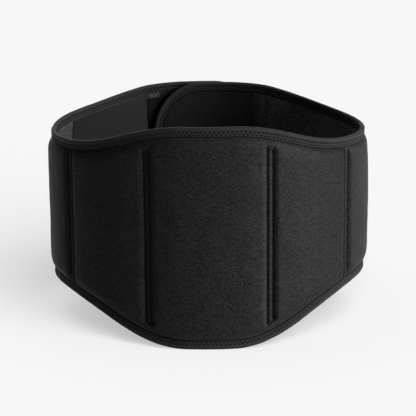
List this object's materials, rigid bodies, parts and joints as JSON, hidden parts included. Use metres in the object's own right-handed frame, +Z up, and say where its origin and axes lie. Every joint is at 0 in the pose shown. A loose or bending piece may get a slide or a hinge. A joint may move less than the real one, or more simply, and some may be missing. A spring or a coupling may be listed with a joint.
{
  "type": "lumbar support belt",
  "caption": "Padded lumbar support belt closed into an oval loop, with stay channels, taped edges and an overlapping hook-and-loop front.",
  "frame": {"origin": "on the surface that the belt stands on, under the middle of its box", "axes": "+Z up along the wearer's body, -Y the lumbar side, +Y the closure, +X the end that lies inside at the closure"},
  "size_m": [0.3165, 0.2362, 0.2124],
  "materials": {
    "shell_fabric": "matt black woven cover over a thin foam pad",
    "channel_fabric": "matt black woven cover, stitched down beside each stay",
    "tab_fabric": "matt black brushed cover, a little lighter than the panels",
    "lining": "soft dark grey twill lining",
    "hook": "black hook tape, rough",
    "edge_tape": "black ribbed binding tape with two rows of stitches"
  },
  "bodies": {
    "root": {"lumbar_pad": "shell_fabric", "flank_pad_left": "shell_fabric", "flank_pad_right": "shell_fabric", "side_pad_left": "shell_fabric", "side_pad_right": "shell_fabric", "front_panel_left": "shell_fabric", "front_panel_right": "shell_fabric", "closure_panel_left": "shell_fabric", "closure_panel_right": "shell_fabric", "end_tab_left": "tab_fabric", "end_tab_right": "tab_fabric", "stay_channel_lumbar_left": "channel_fabric", "stay_channel_lumbar_right": "channel_fabric", "stay_channel_flank_left": "channel_fabric", "stay_channel_flank_right": "channel_fabric", "stay_channel_side_left": "channel_fabric", "stay_channel_side_right": "channel_fabric", "stay_channel_front_left": "channel_fabric", "stay_channel_front_right": "channel_fabric", "lining_left": "lining", "hook_patch": "hook", "binding_top": "edge_tape", "binding_bottom": "edge_tape", "binding_end_left": "edge_tape", "binding_end_right": "edge_tape"}
  },
  "joints": []
}
